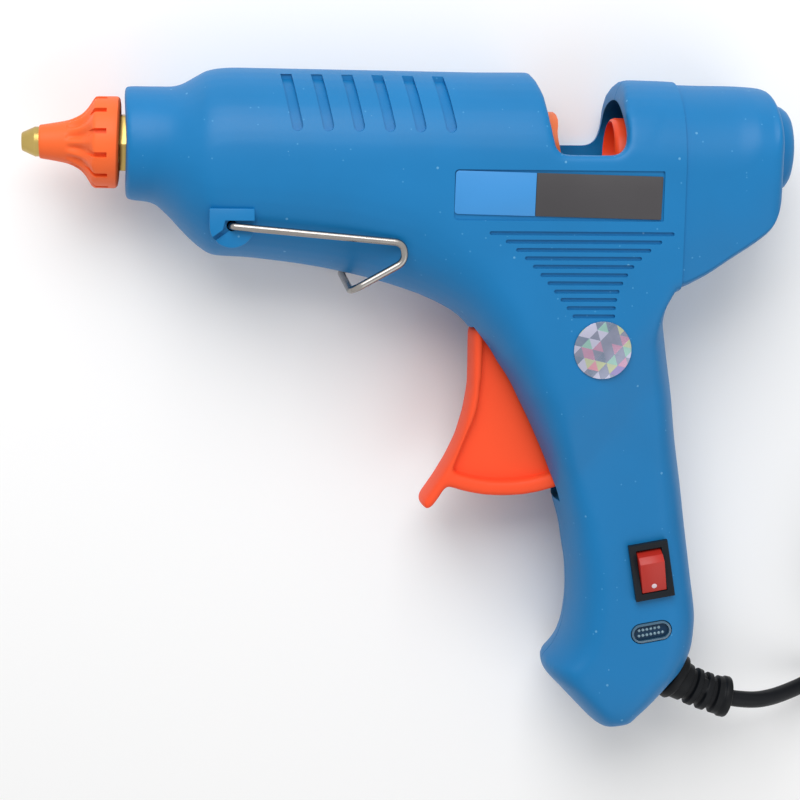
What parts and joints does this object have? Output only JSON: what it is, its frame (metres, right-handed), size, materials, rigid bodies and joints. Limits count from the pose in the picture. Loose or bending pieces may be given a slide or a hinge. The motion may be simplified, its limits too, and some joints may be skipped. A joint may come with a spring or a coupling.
{
  "type": "hot glue gun",
  "caption": "Hot-melt glue gun with a long trigger, finned nozzle cover, folding wire stand, rocker switch, pilot lamp and a two-pin mains lead.",
  "frame": {"origin": "centre of the bottom of the gun without its cord, as it lies on its right side", "axes": "+X along the barrel from the nozzle to the rear, +Y from the grip up to the barrel, +Z out of the left side that faces up"},
  "size_m": [0.2908, 0.1774, 0.0434],
  "materials": {
    "blue_shell": "satin",
    "orange_plastic": "satin",
    "orange_silicone": "matte",
    "brass": "satin",
    "steel": "satin",
    "aluminium": "satin",
    "black_plastic": "matte",
    "black_rubber": "matte",
    "red_plastic": "gloss",
    "clear_lens": "gloss",
    "glass_bulb": "gloss",
    "dark_label": "matte",
    "light_label": "satin",
    "foil": "gloss",
    "ceramic": "matte",
    "sleeve": "matte"
  },
  "bodies": {
    "housing": {"left_shell": "blue_shell", "right_shell": "blue_shell", "nozzle_tip": "brass", "nozzle_cover": "orange_silicone", "valve_spring": "steel", "spring_seat": "brass", "heating_chamber": "aluminium", "heater_plate": "ceramic", "heater_clip": "steel", "inlet_sleeve": "sleeve", "sleeve_ring": "steel", "trigger_pin": "steel", "return_spring": "steel", "switch_housing": "black_plastic", "lamp_lens": "clear_lens", "lamp_bulb": "glass_bulb", "light_label": "light_label", "dark_label": "dark_label", "round_sticker": "foil", "strain_relief": "black_rubber", "cord_tail": "black_rubber", "cord_clamp": "black_plastic", "clamp_screw_1": "steel", "clamp_screw_2": "steel", "lead_1": "sleeve", "lead_2": "sleeve", "power_cord": "black_rubber", "cord_coil": "black_rubber", "plug_cord": "black_rubber", "plug_body": "black_plastic", "plug_pin_1": "brass", "plug_pin_2": "brass", "shell_screw_1": "steel", "shell_screw_2": "steel", "shell_screw_3": "steel", "shell_screw_4": "steel", "shell_screw_5": "steel", "shell_screw_6": "steel", "shell_screw_7": "steel", "shell_screw_8": "steel"},
    "trigger": {"trigger": "orange_plastic"},
    "carriage": {"feed_carriage": "orange_plastic", "lever_pin": "steel"},
    "lever": {"grip_lever": "orange_plastic"},
    "stand": {"stand_wire": "steel"},
    "rocker": {"switch_rocker": "red_plastic"},
    "ball": {"valve_ball": "steel"}
  },
  "joints": [
    {"name": "trigger_pull", "type": "hinge", "parent": "housing", "child": "trigger", "pos_m": [0.02595, 0.019, 0.0215], "axis": [0, 0, 1], "range_deg": [0, 22], "stiffness_Nm_per_rad": 0.3, "springref_deg": -8.59, "deforming": ["return_spring"]},
    {"name": "carriage_slide", "type": "slide", "parent": "housing", "child": "carriage", "axis": [-1, 0, 0], "range_m": [0, 0.0121]},
    {"name": "lever_tilt", "type": "hinge", "parent": "carriage", "child": "lever", "pos_m": [0.03895, 0.0599, 0.0215], "axis": [0, 0, 1], "range_deg": [0, 4.2]},
    {"name": "stand_swing", "type": "hinge", "parent": "housing", "child": "stand", "pos_m": [-0.04675, 0.0497, 0.0215], "axis": [0, 0, -1], "range_deg": [0, 115]},
    {"name": "switch_toggle", "type": "hinge", "parent": "housing", "child": "rocker", "pos_m": [0.06475, -0.0415, 0.0361], "axis": [-0.9848, -0.1736, 0], "range_deg": [0, 24]},
    {"name": "valve_lift", "type": "slide", "parent": "housing", "child": "ball", "axis": [1, 0, 0], "range_m": [0, 0.0012], "stiffness_N_per_m": 150, "springref_m": -0.001, "deforming": ["valve_spring"]}
  ],
  "couplings": [
    {"joint": "carriage_slide", "follows": "trigger_pull", "m_per_rad": 0.031},
    {"joint": "lever_tilt", "follows": "trigger_pull", "ratio": 0.18}
  ]
}
